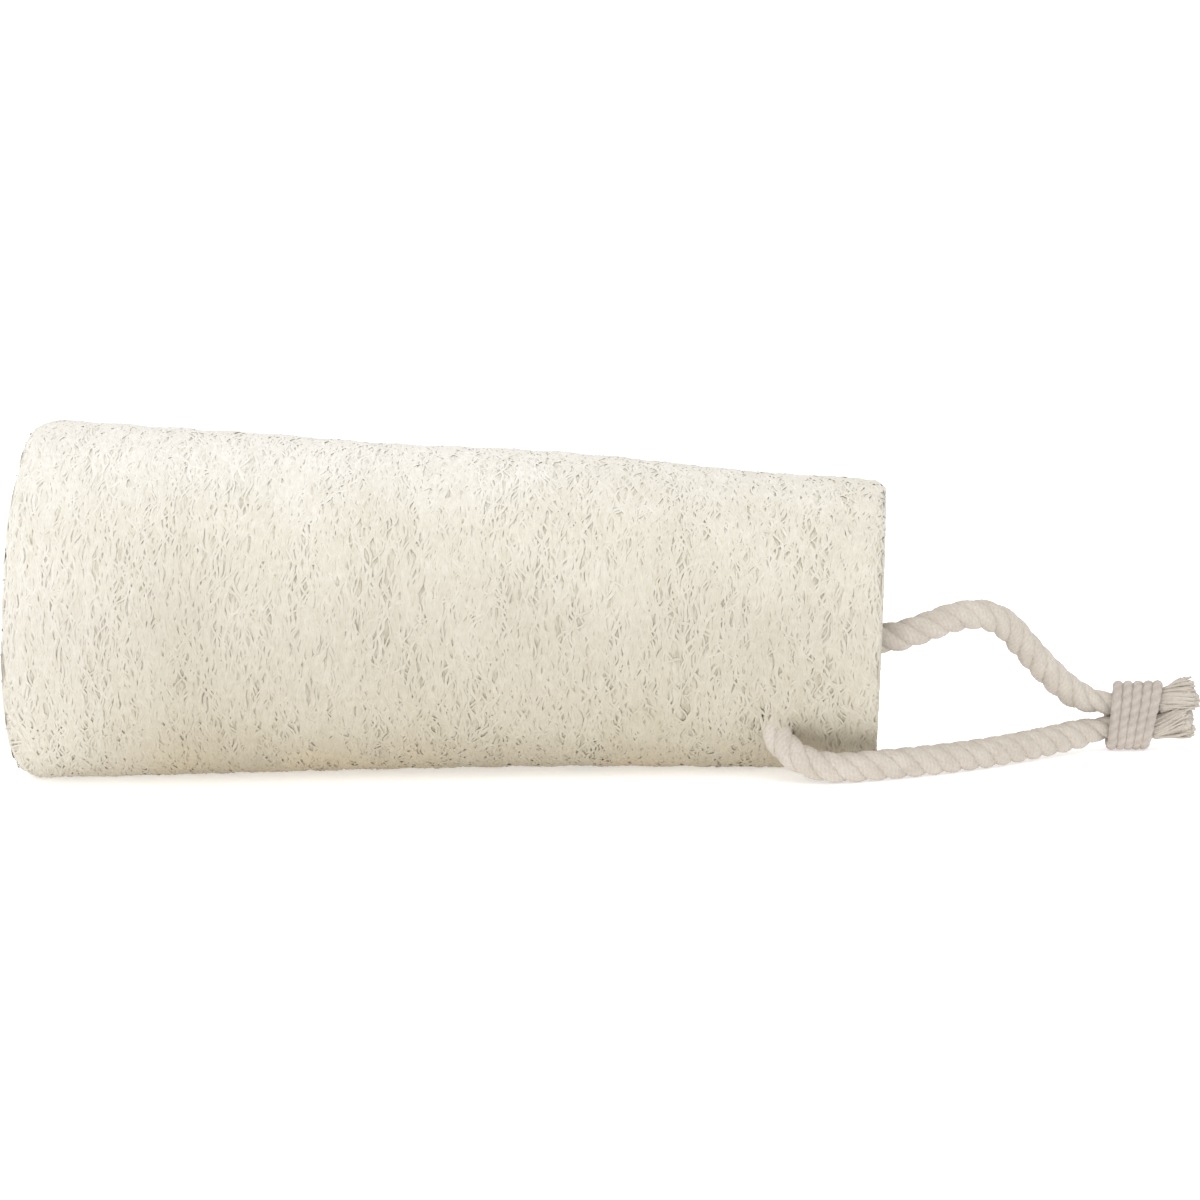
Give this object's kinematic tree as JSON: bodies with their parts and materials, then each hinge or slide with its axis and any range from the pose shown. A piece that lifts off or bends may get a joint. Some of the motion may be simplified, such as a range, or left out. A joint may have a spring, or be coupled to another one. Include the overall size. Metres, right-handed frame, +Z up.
{
  "type": "natural loofah sponge",
  "caption": "Cut length of dried loofah gourd with seed channels through it and a cotton rope loop at one end, for washing and scrubbing.",
  "frame": {"origin": "on the ground under the middle of the loofah body's box", "axes": "+X along the loofah towards the rope loop, -Y towards the side where the rope comes out, +Z up as it lies"},
  "size_m": [0.206, 0.062, 0.0618],
  "materials": {
    "loofah_fibre": "matt, dry mat of fine plant fibre, cream",
    "cotton_rope": "matt, undyed three-strand twisted cotton",
    "cotton_twine": "matt, undyed cotton twine wound tightly"
  },
  "bodies": {
    "root": {"loofah_body": "loofah_fibre", "rope": "cotton_rope", "binding": "cotton_twine"}
  },
  "joints": []
}
